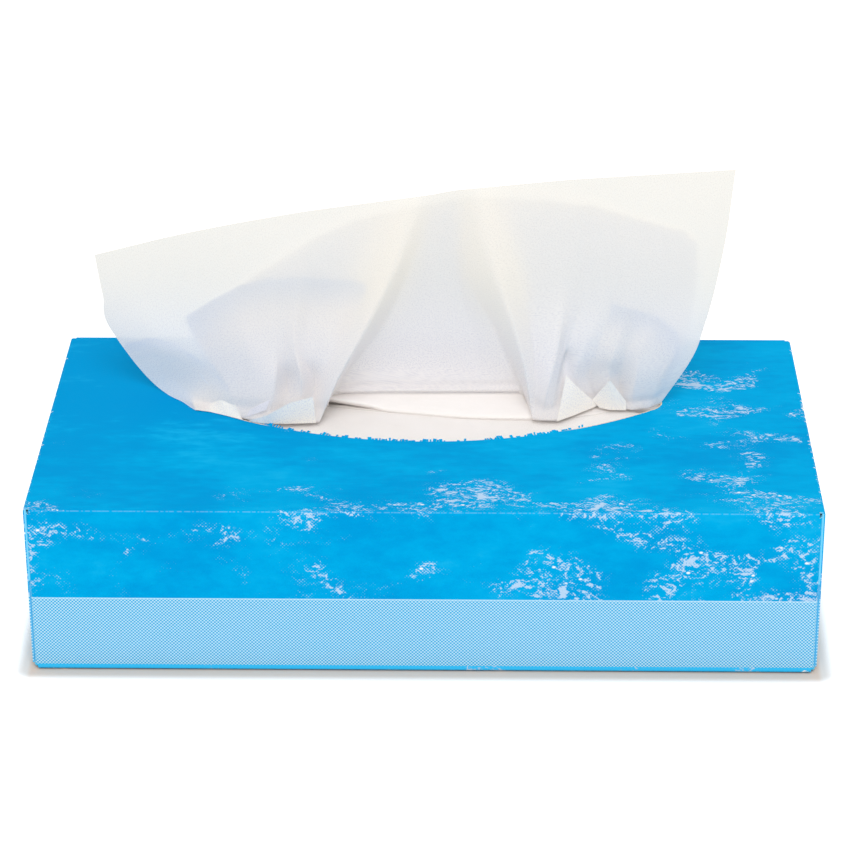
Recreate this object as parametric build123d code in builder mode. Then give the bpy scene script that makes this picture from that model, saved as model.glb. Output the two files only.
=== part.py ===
"""Flat carton of facial tissues, with one sheet drawn up through the film slit in its top.

Millimetres. The origin is the middle of the base, +X runs along the carton, +Y to its back, +Z up.
"""

import os

from build123d import *

# Carton: one blank of paperboard, wrapped round and closed by glued end flaps
carton_length = 230.0
carton_depth = 120.0
carton_height = 52.5
board = 0.45
fold_inside = 0.35
glue_flap_height = 16.0
glue_flap_inset = 5.0
outer_flap_gap = 1.5
inner_flap_length = 30.0
dust_flap_length = 38.0
dust_flap_corner = 7.0
flap_relief = 1.3
seam_lift = 0.3

# Mouth: lens-shaped tear-out in the top panel, set behind the middle
mouth_length = 151.0
mouth_depth = 56.0
mouth_tip_radius = 6.5
mouth_setback = 13.5

# Film: clear window under the mouth, with a slit that the drawn sheet holds open
film = 0.1
film_margin = 7.0
film_corner = 6.0
slit_length = 136.0
slit_gape = 16.0

# Tissue: two-ply sheets, each folded in half and interleaved with the next
sheet = 0.3
pile_end_gap = 13.65
pile_side_gap = 5.4
pile_headroom = 2.2
pile_bulge = 1.2
pile_edge_radius = 7.0
foot_bend = 2.0

# Drawn sheet: rises are above the carton, widths from the middle
gather_room = 5.4
gather_count = 14
gather_overrun = 10.0
neck_inset = 13.0
neck_rise = 2.0
hem_left = 66.0
hem_right = 66.0
hem_rise = 3.0
shoulder_left = 92.5
shoulder_left_rise = 18.5
shoulder_right = 82.0
shoulder_right_rise = 22.5
shoulder_radius = 14.0
drawn_left = 98.0
drawn_left_rise = 48.0
drawn_right = 90.0
drawn_right_rise = 75.0
drawn_middle_rise = 64.3

# Next sheet: its leading half follows behind the drawn sheet, lower than it
next_gap = 1.2
next_slit_room = 0.5
next_hem_rise = 4.0
next_left = 74.0
next_left_rise = 14.0
next_left_shoulder = 56.0
next_left_shoulder_rise = 31.0
next_right = 74.0
next_right_rise = 48.0
next_right_shoulder = 34.0
next_right_shoulder_rise = 56.0
next_corner_radius = 6.0

# Values that follow from the sizes above
half_length = carton_length / 2
half_depth = carton_depth / 2
fold_middle = fold_inside + board / 2
outer_flap_x = half_length - 0.5 * board
inner_flap_x = half_length - 1.5 * board
dust_flap_x = half_length - 2.5 * board
sleeve_half = dust_flap_x - fold_middle
top_mid = carton_height - board / 2
front_mid = -half_depth + board / 2
back_mid = half_depth - board / 2
glue_mid = half_depth - 1.5 * board
top_underside = carton_height - board
film_underside = top_underside - film
pile_top = film_underside - pile_headroom
pile_middle = (board + pile_top) / 2
pile_side = half_depth - 2 * board - pile_side_gap
fold_half = pile_side - pile_bulge
flat_half = fold_half - pile_edge_radius
sheet_width = carton_length - 6 * board - 2 * pile_end_gap
gather_depth = slit_gape / 2 - gather_room
gather_half = max(drawn_left, drawn_right) + gather_overrun
neck_half = slit_length / 2 - neck_inset
drawn_back = mouth_setback + gather_depth + sheet
next_y = drawn_back + next_gap
next_reach = next_y + sheet / 2 - mouth_setback + next_slit_room
next_neck_half = slit_length / 2 * (1 - next_reach / (slit_gape / 2)) ** 0.5

# Outline of the drawn sheet's standing half, seen from the front
foot_left = (-neck_half, pile_top)
foot_right = (neck_half, pile_top)
neck_left = (-neck_half, carton_height + neck_rise)
neck_right = (neck_half, carton_height + neck_rise)
hem_left_end = (-hem_left, carton_height + hem_rise)
hem_right_end = (hem_right, carton_height + hem_rise)
left_shoulder = (-shoulder_left, carton_height + shoulder_left_rise)
right_shoulder = (shoulder_right, carton_height + shoulder_right_rise)
top_left = (-drawn_left, carton_height + drawn_left_rise)
top_middle = (0, carton_height + drawn_middle_rise)
top_right = (drawn_right, carton_height + drawn_right_rise)

# Outline of the next sheet's standing half, above its hem
next_outline = [
    (-next_neck_half, carton_height + next_hem_rise),
    (-next_left, carton_height + next_left_rise),
    (-next_left_shoulder, carton_height + next_left_shoulder_rise),
    (next_right_shoulder, carton_height + next_right_shoulder_rise),
    (next_right, carton_height + next_right_rise),
    (next_neck_half, carton_height + next_hem_rise),
]

# Gathers, seen from above: swinging to and fro, shallower towards the ends
gathers = []
for i in range(gather_count + 1):
    along = 2 * i / gather_count - 1
    swing = gather_depth * (1 - along**2) * (-1) ** i
    gathers.append((along * gather_half, mouth_setback + swing))

os.makedirs("parts", exist_ok=True)


def lens(length, depth):
    """Closed outline of two equal arcs that meet at points on the X axis."""
    left = (-length / 2, 0)
    right = (length / 2, 0)
    ThreePointArc(left, (0, depth / 2), right)
    ThreePointArc(right, (0, -depth / 2), left)


# Carton
with BuildPart() as carton:
    # Back, top, front and bottom panels, wrapped from the free lower edge of the back
    with BuildSketch(Plane.YZ):
        with BuildLine():
            FilletPolyline(
                (back_mid, seam_lift),
                (back_mid, top_mid),
                (front_mid, top_mid),
                (front_mid, board / 2),
                (glue_mid - fold_middle, board / 2),
                radius=fold_middle,
            )
        trace(line_width=board)
    extrude(amount=sleeve_half, both=True)

    # Glue flap, folded up from the bottom panel and stuck inside the back panel
    with BuildSketch(Plane.YZ):
        with BuildLine():
            FilletPolyline(
                (glue_mid - 2 * fold_middle, board / 2),
                (glue_mid, board / 2),
                (glue_mid, glue_flap_height),
                radius=fold_middle,
            )
        trace(line_width=board)
    extrude(amount=sleeve_half - glue_flap_inset, both=True)

    # Outer end flap, folded down from the top panel
    with BuildSketch(Plane.XZ):
        with BuildLine():
            FilletPolyline(
                (sleeve_half - board, top_mid),
                (outer_flap_x, top_mid),
                (outer_flap_x, outer_flap_gap),
                radius=fold_middle,
            )
        trace(line_width=board)
    extrude(amount=half_depth - flap_relief, both=True)

    # Inner end flap, folded up from the bottom panel behind the outer one
    with BuildSketch(Plane.XZ):
        with BuildLine():
            FilletPolyline(
                (sleeve_half - board, board / 2),
                (inner_flap_x, board / 2),
                (inner_flap_x, inner_flap_length),
                radius=fold_middle,
            )
        trace(line_width=board)
    extrude(amount=half_depth - board - flap_relief, both=True)

    # Dust flaps, folded in from the front and back panels behind the inner flap
    with BuildSketch(Plane.XY.offset(flap_relief)):
        with BuildLine():
            FilletPolyline(
                (sleeve_half - board, front_mid),
                (dust_flap_x, front_mid),
                (dust_flap_x, -half_depth + dust_flap_length),
                radius=fold_middle,
            )
        trace(line_width=board)
        mirror(about=Plane.XZ)
    dust_flaps = extrude(amount=carton_height - 2 * flap_relief, mode=Mode.PRIVATE)
    dust_ends = dust_flaps.edges().filter_by(Axis.X)
    dust_corners = [e for e in dust_ends if abs(e.center().Y) < half_depth - dust_flap_length + board]
    add(dust_flaps.chamfer(dust_flap_corner, None, dust_corners))

    # The other end is the same
    mirror(about=Plane.YZ)

    # Mouth torn out of the top panel
    with BuildSketch(Plane((0, mouth_setback, carton_height))) as mouth:
        with BuildLine():
            lens(mouth_length, mouth_depth)
        make_face()
        fillet(mouth.vertices(), mouth_tip_radius)
    extrude(amount=-2 * board, mode=Mode.SUBTRACT)
carton.part.label = "carton"
export_step(carton.part, "parts/carton.step")


# Film glued under the top panel
with BuildPart() as film_window:
    with BuildSketch(Plane((0, mouth_setback, film_underside))):
        RectangleRounded(mouth_length + 2 * film_margin, mouth_depth + 2 * film_margin, film_corner)
        with BuildLine():
            lens(slit_length, slit_gape)
        make_face(mode=Mode.SUBTRACT)
    extrude(amount=film)
film_window.part.label = "film_window"
export_step(film_window.part, "parts/film_window.step")


# Pile of folded sheets left in the carton
with BuildPart() as tissue_stack:
    with BuildSketch(Plane.YZ) as pile_section:
        with BuildLine():
            Line((-fold_half, board), (fold_half, board))
            ThreePointArc((fold_half, board), (pile_side, pile_middle), (fold_half, pile_top))
            Line((fold_half, pile_top), (-fold_half, pile_top))
            ThreePointArc((-fold_half, pile_top), (-pile_side, pile_middle), (-fold_half, board))
        make_face()
        fillet(pile_section.vertices(), pile_edge_radius)
    extrude(amount=sheet_width / 2, both=True)
tissue_stack.part.label = "tissue_stack"
export_step(tissue_stack.part, "parts/tissue_stack.step")


# Drawn sheet: gathered in the slit, standing above the carton, its lower half still on the pile
with BuildPart() as pulled_sheet:
    with BuildSketch(Plane.XY.offset(pile_top)):
        with BuildLine():
            Spline(*gathers)
        trace(line_width=sheet)
    extrude(amount=carton_height + drawn_right_rise)
    with BuildSketch(Plane.XZ):
        with BuildLine():
            ThreePointArc(top_left, top_middle, top_right)
            FilletPolyline(top_right, right_shoulder, hem_right_end, radius=shoulder_radius)
            Polyline(hem_right_end, neck_right, foot_right, foot_left, neck_left, hem_left_end)
            FilletPolyline(hem_left_end, left_shoulder, top_left, radius=shoulder_radius)
        make_face()
    extrude(amount=half_depth, both=True, mode=Mode.INTERSECT)
    with BuildSketch(Plane.XY.offset(pile_top)):
        with Locations((0, -flat_half)):
            Rectangle(sheet_width, flat_half + drawn_back, align=(Align.CENTER, Align.MIN))
    extrude(amount=sheet)
pulled_sheet.part.label = "pulled_sheet"
export_step(pulled_sheet.part, "parts/pulled_sheet.step")


# Next sheet: flat on the back of the pile, its leading half standing behind the drawn sheet
with BuildPart() as next_sheet:
    with BuildSketch(Plane.XY.offset(pile_top)):
        with Locations((0, next_y + foot_bend)):
            Rectangle(sheet_width, flat_half - next_y - foot_bend, align=(Align.CENTER, Align.MIN))
    extrude(amount=sheet)
    with BuildSketch(Plane.YZ):
        with BuildLine():
            FilletPolyline(
                (next_y + 2 * foot_bend, pile_top + sheet / 2),
                (next_y, pile_top + sheet / 2),
                (next_y, carton_height + next_hem_rise),
                radius=foot_bend,
            )
        trace(line_width=sheet)
    extrude(amount=next_neck_half, both=True)
    with BuildSketch(Plane.XZ.offset(-next_y)):
        with BuildLine():
            FilletPolyline(*next_outline, radius=next_corner_radius, close=True)
        make_face()
    extrude(amount=sheet / 2, both=True)
next_sheet.part.label = "next_sheet"
export_step(next_sheet.part, "parts/next_sheet.step")
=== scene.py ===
# %% [markdown]
# # A box of facial tissues
#
# A flat printed carton with a lens-shaped mouth in its lid. Clear film with a slit closes the mouth,
# one tissue stands up through the slit, and the next one follows behind it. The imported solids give
# every size. This lesson adds what a solid can't show: print, torn perforations, glossy film, and paper
# so thin that light comes through.

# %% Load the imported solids
import math

import bpy
import numpy as np
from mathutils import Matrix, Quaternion, Vector


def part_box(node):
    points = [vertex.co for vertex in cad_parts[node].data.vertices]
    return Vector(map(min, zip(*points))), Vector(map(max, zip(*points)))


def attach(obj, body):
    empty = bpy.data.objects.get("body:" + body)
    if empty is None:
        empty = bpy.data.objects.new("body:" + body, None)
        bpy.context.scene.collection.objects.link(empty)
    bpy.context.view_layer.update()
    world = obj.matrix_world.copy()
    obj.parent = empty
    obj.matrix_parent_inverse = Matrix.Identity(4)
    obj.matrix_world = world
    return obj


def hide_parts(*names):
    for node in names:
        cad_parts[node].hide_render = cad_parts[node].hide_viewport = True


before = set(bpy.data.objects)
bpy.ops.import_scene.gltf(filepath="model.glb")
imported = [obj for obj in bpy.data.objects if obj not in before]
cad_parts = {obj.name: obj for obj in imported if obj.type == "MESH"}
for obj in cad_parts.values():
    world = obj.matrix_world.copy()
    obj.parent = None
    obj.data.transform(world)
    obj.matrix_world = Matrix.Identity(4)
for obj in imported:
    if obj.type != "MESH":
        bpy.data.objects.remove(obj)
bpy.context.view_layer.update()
MM = 0.001
scene = bpy.context.scene
scene.view_settings.view_transform = "Standard"
carton_low, carton_high = (np.array(corner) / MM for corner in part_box("carton"))
HALF_LENGTH = float(carton_high[0])
HALF_DEPTH = float(carton_high[1])
LID = float(carton_high[2])
print("nodes:", sorted(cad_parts))
print("carton in millimetres:", carton_low.round(2), carton_high.round(2))

# %% [markdown]
# ## Camera
#
# The photograph was taken with a long lens from a little above the lid. The place, aim and lens below
# were worked out once from the carton's six visible corners, so a straight edge of the model falls on
# the same edge of the photograph. A long lens keeps the sides of the box nearly parallel.

# %% Camera
EYE = Vector((16.2, -857.7, 471.9))
AIM = Vector((-0.0175, 0.8976, -0.4406))
ROLL = math.radians(-0.239)
FOCAL_LENGTH = 133.46
SENSOR_WIDTH = 36.0

camera_data = bpy.data.cameras.new("camera")
camera_data.sensor_width = SENSOR_WIDTH
camera_data.lens = FOCAL_LENGTH
camera = bpy.data.objects.new("camera", camera_data)
scene.collection.objects.link(camera)
camera.location = EYE * MM
camera.rotation_mode = "QUATERNION"
camera.rotation_quaternion = AIM.to_track_quat("-Z", "Y") @ Quaternion((0, 0, 1), ROLL)
scene.camera = camera
print("camera", round(EYE.length), "mm away, lens", FOCAL_LENGTH, "mm")

# %% [markdown]
# ## Writing materials as sums
#
# A material is a tree of nodes. Wiring each node by hand hides the idea, so one small class wraps a
# socket and lets it be added, multiplied and compared like a number. `Finish` makes any other node from
# its type, its settings and what goes into its sockets.

# %% Sockets that can be used like numbers
class Wire:
    """An output socket of a shader tree that takes part in sums."""

    def __init__(self, finish, socket):
        self.finish = finish
        self.socket = socket

    def math(self, operation, *others):
        sockets = dict(enumerate((self, *others)))
        return self.finish.node("ShaderNodeMath", {"operation": operation}, sockets)

    def __add__(self, other):
        return self.math("ADD", other)

    def __radd__(self, other):
        return self.math("ADD", other)

    def __sub__(self, other):
        return self.math("SUBTRACT", other)

    def __rsub__(self, other):
        return self.math("MULTIPLY", -1.0).math("ADD", other)

    def __mul__(self, other):
        return self.math("MULTIPLY", other)

    def __rmul__(self, other):
        return self.math("MULTIPLY", other)

    def __truediv__(self, other):
        return self.math("DIVIDE", other)

    def __abs__(self):
        return self.math("ABSOLUTE")

    def larger(self, other):
        return self.math("MAXIMUM", other)

    def smaller(self, other):
        return self.math("MINIMUM", other)

    def sine(self):
        return self.math("SINE")

    def diagonal(self, other):
        """The long side of a right-angled triangle on two distances."""
        return (self * self + other * other).math("SQRT")

    def ramp(self, low, high):
        """0 below low, 1 above high, and an even S between."""
        sockets = {"Value": self, "From Min": low, "From Max": high}
        return self.finish.node("ShaderNodeMapRange", {"interpolation_type": "SMOOTHSTEP"}, sockets)


print("sockets take part in sums")

# %% Materials made node by node
class Finish:
    """One material while it is being made."""

    family = bpy.data.materials
    end = "ShaderNodeOutputMaterial"

    def __init__(self, name):
        self.made = self.family.new(name)
        self.made.use_nodes = True
        self.tree = self.made.node_tree
        self.tree.nodes.clear()

    def node(self, kind, settings=None, sockets=None, out=0):
        made = self.tree.nodes.new(kind)
        for key, value in (settings or {}).items():
            setattr(made, key, value)
        for key, value in (sockets or {}).items():
            if isinstance(value, Wire):
                self.tree.links.new(value.socket, made.inputs[key])
            else:
                made.inputs[key].default_value = value
        return Wire(self, made.outputs[out])

    def scaled(self, vector, factors):
        return self.node("ShaderNodeVectorMath", {"operation": "MULTIPLY"}, {0: vector, 1: factors})

    def place(self, scale=(1, 1, 1)):
        """Object coordinates in millimetres, stretched by scale."""
        coordinates = self.node("ShaderNodeTexCoord", out="Object")
        return self.scaled(coordinates, tuple(s / MM for s in scale))

    def split(self, vector):
        sockets = {"Vector": vector}
        return [self.node("ShaderNodeSeparateXYZ", sockets=sockets, out=i) for i in range(3)]

    def noise(self, vector, size, detail=2.0, roughness=0.5, distortion=0.0, out="Fac"):
        """Cloudy noise whose lumps are about size millimetres across."""
        sockets = {
            "Vector": vector, "Scale": 1.0 / size, "Detail": detail,
            "Roughness": roughness, "Distortion": distortion,
        }
        return self.node("ShaderNodeTexNoise", sockets=sockets, out=out)

    def mix(self, factor, first, second):
        """Colour first where factor is 0 and second where it is 1."""
        sockets = {0: factor, 6: first, 7: second}
        return self.node("ShaderNodeMix", {"data_type": "RGBA"}, sockets, out=2)

    def blend(self, factor, first, second):
        """Shader first where factor is 0 and second where it is 1."""
        return self.node("ShaderNodeMixShader", sockets={0: factor, 1: first, 2: second})

    def bump(self, height, strength, distance, normal=None):
        sockets = {"Height": height, "Strength": strength, "Distance": distance}
        if normal is not None:
            sockets["Normal"] = normal
        return self.node("ShaderNodeBump", sockets=sockets)

    def output(self, shader):
        end = self.tree.nodes.new(self.end)
        self.tree.links.new(shader.socket, end.inputs["Surface"])
        return self.made


class Surroundings(Finish):
    """The world, made as a material is."""

    family = bpy.data.worlds
    end = "ShaderNodeOutputWorld"


def ink(red, green, blue):
    """A colour as a screen shows it, 0 to 255, turned into the linear light that shaders use."""
    linear = []
    for value in (red, green, blue):
        share = value / 255
        linear.append(share / 12.92 if share <= 0.04045 else ((share + 0.055) / 1.055) ** 2.4)
    return (*linear, 1.0)


print("shader helpers ready")

# %% [markdown]
# ## Light
#
# The picture is a catalogue shot: even light from the front and above, no hard shadow, and a white
# background. A ring of lamps could do that, but a grey world and one large softbox give the same
# evenness with less to set. The world is white only where the camera or a reflection looks straight at
# it, so it doesn't wash out the object.

# %% Light
AMBIENT = 0.785
LAMP_PLACE = Vector((50.0, -1250.0, 1550.0))
LAMP_SIZE = 900.0
LAMP_POWER = 15.8

studio = Surroundings("studio")
camera_ray = studio.node("ShaderNodeLightPath", out="Is Camera Ray")
glossy_ray = studio.node("ShaderNodeLightPath", out="Is Glossy Ray")
strength = AMBIENT + camera_ray.larger(glossy_ray) * (1 - AMBIENT)
sky = {"Color": (1, 1, 1, 1), "Strength": strength}
scene.world = studio.output(studio.node("ShaderNodeBackground", sockets=sky))

lamp = bpy.data.lights.new("front softbox", "AREA")
lamp.shape = "SQUARE"
lamp.size = LAMP_SIZE * MM
lamp.energy = LAMP_POWER
softbox = bpy.data.objects.new("front softbox", lamp)
scene.collection.objects.link(softbox)
softbox.location = LAMP_PLACE * MM
to_lid = Vector((0, 0, LID)) - LAMP_PLACE
softbox.rotation_mode = "QUATERNION"
softbox.rotation_quaternion = to_lid.to_track_quat("-Z", "Y")
print("one softbox", LAMP_SIZE, "mm wide, ambient", AMBIENT)

# %% [markdown]
# ## Floor
#
# The ground loses itself in the white background. It is white paint that also glows a little towards
# the camera. Close to the box the glow fades out and the paint is duller and warmer: a painted shadow,
# which leaves a dark line where the box stands and no wider shadow.

# %% Floor
GLOW_NEAR = (0.0, 0.0, 0.0, 1.0)
GLOW_FAR = (0.42, 0.42, 0.42, 1.0)
# Painted shadow: duller, warmer paint close to the box, in front and at the sides.
SHADOW_PAINT_FRONT = (0.70, 0.60, 0.53, 1.0)
SHADOW_PAINT_SIDE = (0.76, 0.74, 0.72, 1.0)
PAINT_FAR = (0.95, 0.95, 0.95, 1.0)
GLOW_RISE = (2.0, 7.5)
SIDE_RISE = (0.0, 2.0)
FLOOR_HALF = 3000.0
FLOOR_DROP = 0.3
FLOOR_SIGNS = ((-1, -1), (1, -1), (1, 1), (-1, 1))


def mesh_object(name, places, faces, finishes, edges=()):
    """An object from places in millimetres, the faces between them and its finishes."""
    mesh = bpy.data.meshes.new(name)
    mesh.from_pydata((np.asarray(places) * MM).tolist(), list(edges), faces)
    for finish in finishes:
        mesh.materials.append(finish)
    made = bpy.data.objects.new(name, mesh)
    scene.collection.objects.link(made)
    return made


ground = Finish("white ground")
ground_x, ground_y = ground.split(ground.place())[:2]
out_x = (abs(ground_x) - HALF_LENGTH).larger(0.0)
out_y = (abs(ground_y) - HALF_DEPTH).larger(0.0)
away = out_x.diagonal(out_y).ramp(*GLOW_RISE)
to_camera = ground.node("ShaderNodeLightPath", out="Is Camera Ray")
# Painted shadow: near the box the glow is off and the paint is duller and warmer.
glow = ground.mix(to_camera, GLOW_NEAR, ground.mix(away, GLOW_NEAR, GLOW_FAR))
painted_shadow = ground.mix(out_x.ramp(*SIDE_RISE), SHADOW_PAINT_FRONT, SHADOW_PAINT_SIDE)
paint = {
    "Base Color": ground.mix(away, painted_shadow, PAINT_FAR), "Roughness": 1.0, "Specular IOR Level": 0.0,
    "Emission Color": glow, "Emission Strength": 1.0,
}
ground_finish = ground.output(ground.node("ShaderNodeBsdfPrincipled", sockets=paint))
floor_corners = [(x * FLOOR_HALF, y * FLOOR_HALF, -FLOOR_DROP) for x, y in FLOOR_SIGNS]
floor = mesh_object("floor", floor_corners, [(0, 1, 2, 3)], [ground_finish])
print("floor", 2 * FLOOR_HALF, "mm wide")

# %% [markdown]
# ## Printed paperboard
#
# The carton is one sheet of board, printed on the outside only. A picture could be laid over the
# unfolded box, but sums of distances and noise stay sharp at any size and run round its corners. The
# finish finds the outside by measuring how deep a point lies under the box's own faces: the print is
# within a third of a millimetre, the bare board is deeper.

# %% Where a point of the board lies
PRINT_DEPTH = 0.33
NEAR_FACE = 0.9
END_EDGE = (-0.6, -0.5)
POST_FROM_END = (-1.6, -1.5)
POST_FROM_SIDE = (-2.4, -2.3)
TO_BACK = (-50.0, 60.0)
TO_RIGHT = (-110.0, 70.0)


class Board(Finish):
    """The carton's finish, with the places and distances that its print is laid out by."""

    def __init__(self, name):
        super().__init__(name)
        self.here = self.place()
        self.x, self.y, self.z = self.split(self.here)
        normal = self.node("ShaderNodeTexCoord", out="Normal")
        self.nx, self.ny, self.nz = (abs(part) for part in self.split(normal))
        self.from_ends = abs(self.x) - HALF_LENGTH
        self.from_sides = abs(self.y) - HALF_DEPTH
        self.from_flats = abs(self.z - LID / 2) - LID / 2
        self.upright = 1 - self.nz.ramp(0.5, 0.6)
        self.backward = self.y.ramp(*TO_BACK) * (1 - self.x.ramp(*TO_RIGHT)) * self.nz


def printed_side(b):
    """A mask of the printed outside, and one of the narrow seam at each upright corner."""
    depth = b.from_ends.larger(b.from_sides).larger(b.from_flats)
    near = (-NEAR_FACE - 0.02, -NEAR_FACE)
    on_end = b.from_ends.ramp(*near) * b.nx
    on_side = b.from_sides.ramp(*near) * b.ny
    on_flat = b.from_flats.ramp(*near) * b.nz
    facing = on_end.larger(on_side).larger(on_flat).larger(b.from_ends.ramp(*END_EDGE))
    printed = depth.ramp(-PRINT_DEPTH - 0.03, -PRINT_DEPTH) * facing.ramp(0.3, 0.4)
    corner_post = b.from_ends.ramp(*POST_FROM_END) * b.from_sides.ramp(*POST_FROM_SIDE)
    return printed.larger(corner_post), corner_post * (1 - printed)


print("print reaches", PRINT_DEPTH, "mm under the faces")

# %% [markdown]
# ## Ground colour and printer's screen
#
# The print's ground is a bright blue with soft tone, deeper towards the back left of the lid. Paler
# tints are printed as a screen of fine dots, as on any printed board. Two crossed sine waves make the
# screen, and a threshold on them makes dots that grow with the tint.

# %% Ground colour and screen
BLUE = ink(0, 167, 222)
DEEP_BLUE = ink(0, 150, 211)
LIGHT_BLUE = ink(34, 180, 228)
DOT_PITCH = 0.72


def ground_tone(b):
    """The blue ground, and the fine streaks in it."""
    broad = b.noise(b.place((0.6, 1, 1)), 22.0, 3.0)
    fine = b.noise(b.place((0.35, 1, 0.7)), 2.6, 4.0, 0.65)
    tone = broad * 0.6 + fine * 0.4
    colour = b.mix((tone - b.backward * 0.40).ramp(0.34, 0.60), DEEP_BLUE, BLUE)
    return b.mix(tone.ramp(0.54, 0.72) * 0.6, colour, LIGHT_BLUE), fine


def screen_wave(b):
    """The swell of the screen, from -1 to 1, laid flat on every face."""
    turn = math.pi * math.sqrt(2) / DOT_PITCH
    along = b.x * b.nx.ramp(0.6, 0.5) + b.y * b.nx.ramp(0.5, 0.6)
    up = b.z * b.upright + b.y * (1 - b.upright)
    return (along * turn).sine() * (up * turn).sine()


print("screen of", DOT_PITCH, "mm pitch")

# %% [markdown]
# ## Glints
#
# Over the ground lie clusters of pale glints, drawn out along the box. A cluster is where a large soft
# noise is high. Inside it a warped net of cells gives strings, a smaller noise fills the dense middle,
# and a haze joins them. The screen breaks all three into dots, and a few bright specks are drawn by a
# lottery of cells.

# %% Glints
GLINT = ink(178, 206, 232)
SPARK = ink(236, 240, 244)
DRAWN_OUT = (0.55, 1.0, 0.85)
SWAY = 5.0
CLUSTER = 14.0
NET_CELL = 1.6
SPECK_CELL = 2.1
MORE_TO_RIGHT = (-115.0, 110.0)
FEWER_INWARD = (-62.0, -28.0)


def glints(b, colour, wave):
    """The colour with glints over it, and a mask of them."""
    spot = b.place(DRAWN_OUT)
    sway = b.noise(spot, SWAY, out="Color")
    shift = {0: sway, 1: (SWAY, SWAY, SWAY), 2: spot}
    swayed = b.node("ShaderNodeVectorMath", {"operation": "MULTIPLY_ADD"}, shift)
    cluster = b.noise(spot, CLUSTER, 2.0, 0.5, 0.6)
    rightward = b.x.ramp(*MORE_TO_RIGHT)
    inward = b.y.ramp(*FEWER_INWARD) * b.nz
    likely = cluster - 0.025 + rightward * 0.11 - inward * (0.15 - rightward * 0.06) - b.backward * 0.06
    chance = likely.ramp(0.51, 0.72)

    net_cells = {"Vector": swayed, "Scale": 1 / NET_CELL, "Randomness": 1.0}
    net = b.node("ShaderNodeTexVoronoi", {"feature": "DISTANCE_TO_EDGE"}, net_cells)
    breaks = b.noise(swayed, 1.2, 4.0, 0.65)
    string = (1 - net.ramp(0.03, 0.16)) * breaks.ramp(0.44, 0.60) * chance.ramp(0.05, 0.6) * 0.8
    core = (b.noise(swayed, 2.6, 5.0, 0.62) + chance * 0.20).ramp(0.68, 0.86) * chance.ramp(0.1, 0.4)
    haze = likely.ramp(0.42, 0.68) * breaks.ramp(0.34, 0.70) * 0.52
    screened = (string.larger(core).larger(haze) + wave * 0.20).ramp(0.28, 0.66)
    colour = b.mix(screened, colour, GLINT)

    cells = {"Vector": spot, "Scale": 1 / SPECK_CELL, "Randomness": 1.0}
    speck_distance = b.node("ShaderNodeTexVoronoi", sockets=cells, out="Distance")
    lottery = b.split(b.node("ShaderNodeTexVoronoi", sockets=cells, out="Color"))[0]
    speck = (1 - speck_distance.ramp(0.10, 0.20)) * lottery.ramp(0.72, 0.76) * chance.ramp(0.25, 0.6)
    return b.mix(speck, colour, SPARK), screened


print("glints in clusters of about", CLUSTER, "mm")

# %% [markdown]
# ## Band round the foot
#
# A pale band runs round the carton's foot, on the four upright faces only. It is the screen again, with
# small gaps between the dots, a plain light line along its top, and a strip of strong blue under it.
# That strip is printed, and its blue is lighter than the ground as painted light against the floor's
# shade.

# %% Band
BAND = ink(46, 165, 214)
BAND_DOT = ink(186, 222, 240)
FOOT_BLUE_LIT = ink(56, 190, 244)
FOOT_LINE = ink(186, 156, 138)
BAND_TOP = 24.0
BAND_FOOT = 1.7
TOP_LINE = (0.45, 0.30)
FOOT_EDGE = (0.2, 0.4)


def foot_band(b, colour, wave, glint_mask):
    screen = b.mix(wave.ramp(-0.2, 0.2), BAND, BAND_DOT)
    top_line = b.z.ramp(BAND_TOP - TOP_LINE[0], BAND_TOP - TOP_LINE[1])
    screen = b.mix(top_line * 0.8, screen, BAND_DOT)
    above_foot = b.z.ramp(BAND_FOOT, BAND_FOOT + 0.15)
    below_top = 1 - b.z.ramp(BAND_TOP - 0.08, BAND_TOP + 0.08)
    # Painted light: the printed foot strip is lighter than the ground, against the floor's shade.
    colour = b.mix((1 - above_foot) * b.upright * (1 - glint_mask), colour, FOOT_BLUE_LIT)
    colour = b.mix(above_foot * below_top * b.upright, colour, screen)
    return b.mix((1 - b.z.ramp(*FOOT_EDGE)) * b.upright, colour, FOOT_LINE)


print("band from", BAND_FOOT, "to", BAND_TOP, "mm")

# %% [markdown]
# ## Wear along the folds
#
# Ink cracks where board is folded. The distance to the nearest fold is the diagonal of two distances to
# faces. Close to a fold, a crumbly noise decides where the white board shows, more often near the
# corners. The long folds also have a row of faint dashes.

# %% Wear
WORN_BOARD = ink(246, 243, 236)
WORN_REACH = (1.0, 2.2)
DASH_REACH = (0.25, 0.45)
NEAR_END = (-26.0, -1.0)


def fold_wear(b, colour):
    """The colour with wear over it, and a mask of the worn places."""
    long_fold = b.from_sides.diagonal(b.from_flats)
    end_fold = b.from_ends.diagonal(b.from_flats)
    corner_fold = b.from_sides.diagonal(b.from_ends)
    fold = end_fold.smaller(long_fold).smaller(corner_fold)
    dashes = b.noise(b.place((1, 0, 0)), 1.1, 1.0).ramp(0.42, 0.52)
    colour = b.mix((1 - long_fold.ramp(*DASH_REACH)) * dashes * 0.35, colour, GLINT)
    crumbs = b.noise(b.place((0.5, 1, 1)), 1.3, 4.0, 0.7)
    patches = b.noise(b.here, 24.0, 1.0)
    chance = crumbs + patches * 0.34 + b.from_ends.ramp(*NEAR_END) * 0.14 - fold * 0.13
    worn = chance.ramp(0.84, 0.90) * (1 - fold.ramp(*WORN_REACH))
    return b.mix(worn, colour, WORN_BOARD), worn


print("wear up to", WORN_REACH[1], "mm from a fold")

# %% [markdown]
# ## Rim of the mouth
#
# The mouth is a lens of two equal arcs with rounded tips. Where it was torn out, the print stops a
# little short of the edge and shows a pale ragged line. The same arcs give the distance to the edge,
# and the line is left out along the front, where the torn perforation takes its place.

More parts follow.
